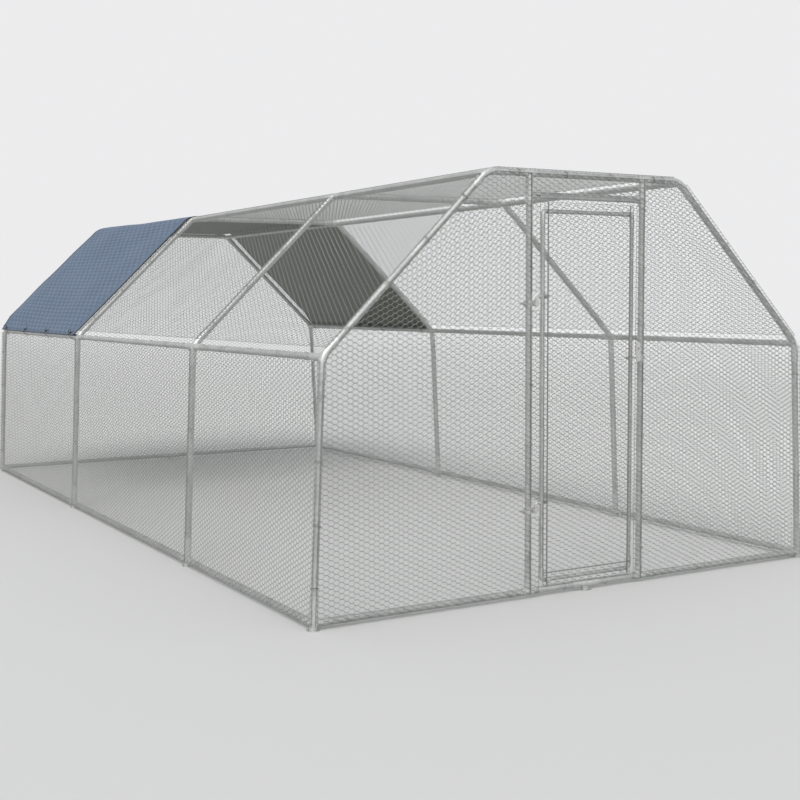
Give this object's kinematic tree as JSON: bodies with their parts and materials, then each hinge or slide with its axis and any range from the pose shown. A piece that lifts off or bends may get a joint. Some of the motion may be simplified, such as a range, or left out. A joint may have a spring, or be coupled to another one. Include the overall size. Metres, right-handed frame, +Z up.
{
  "type": "walk-in chicken coop",
  "caption": "Walk-in poultry run: tube arches under hexagonal wire netting, a hinged front door with a sliding latch, and a woven cover over the rear bay.",
  "frame": {"origin": "on the ground, at the middle of the object's outline", "axes": "+Z up, +Y along the coop from the door end to the covered end, +X to the right seen from outside the door"},
  "size_m": [3.018, 6.0145, 2.0273],
  "materials": {
    "galvanised_tube": "galvanised, dull silver with a faint spangle",
    "fitting_steel": "galvanised pressed fittings",
    "net_wire": "galvanised wire",
    "zinc_hardware": "bright zinc plating",
    "cover_cloth": "woven polyethylene sheet, blue-grey outside",
    "eyelet_brass": "plain",
    "tie_rubber": "matt black"
  },
  "bodies": {
    "frame": {"front_arch_legs": "galvanised_tube", "front_arch_rafters": "galvanised_tube", "front_top_bar": "galvanised_tube", "second_arch_legs": "galvanised_tube", "second_arch_rafters": "galvanised_tube", "second_top_bar": "galvanised_tube", "third_arch_legs": "galvanised_tube", "third_arch_rafters": "galvanised_tube", "third_top_bar": "galvanised_tube", "rear_arch_legs": "galvanised_tube", "rear_arch_rafters": "galvanised_tube", "rear_top_bar": "galvanised_tube", "left_eave_rails": "galvanised_tube", "left_ridge_rails": "galvanised_tube", "left_ground_rails": "galvanised_tube", "left_feet": "fitting_steel", "left_eave_elbows": "fitting_steel", "left_ridge_elbows": "fitting_steel", "left_door_post": "galvanised_tube", "left_wall_net": "net_wire", "left_roof_net": "net_wire", "front_left_net": "net_wire", "right_eave_rails": "galvanised_tube", "right_ridge_rails": "galvanised_tube", "right_ground_rails": "galvanised_tube", "right_feet": "fitting_steel", "right_eave_elbows": "fitting_steel", "right_ridge_elbows": "fitting_steel", "right_door_post": "galvanised_tube", "right_wall_net": "net_wire", "right_roof_net": "net_wire", "front_right_net": "net_wire", "front_ground_rails": "galvanised_tube", "rear_ground_rails": "galvanised_tube", "fitting_screws": "zinc_hardware", "middle_feet": "fitting_steel", "door_lintel": "galvanised_tube", "post_base_tees": "fitting_steel", "post_head_tees": "fitting_steel", "lintel_tees": "fitting_steel", "top_net": "net_wire", "rear_net": "net_wire", "front_top_net": "net_wire", "roof_cover": "cover_cloth", "cover_eyelets": "eyelet_brass", "cover_ties": "tie_rubber", "hinge_eye_bolts": "zinc_hardware", "hinge_post_bands": "zinc_hardware", "eye_bolt_nuts": "zinc_hardware", "latch_keeper": "zinc_hardware"},
    "door": {"door_hinge_stile": "galvanised_tube", "door_latch_stile": "galvanised_tube", "door_top_rail": "galvanised_tube", "door_bottom_rail": "galvanised_tube", "door_corner_elbows": "fitting_steel", "door_net": "net_wire", "hinge_pintles": "zinc_hardware", "pintle_nuts": "zinc_hardware", "latch_guide": "zinc_hardware"},
    "latch": {"latch_bolt": "zinc_hardware"}
  },
  "joints": [
    {"name": "door_hinge", "type": "hinge", "parent": "frame", "child": "door", "pos_m": [-0.299, -2.96775, 0.421], "axis": [0, 0, -1], "range_deg": [0, 110]},
    {"name": "latch_slide", "type": "slide", "parent": "door", "child": "latch", "axis": [1, 0, 0], "range_m": [0, 0.023]}
  ]
}
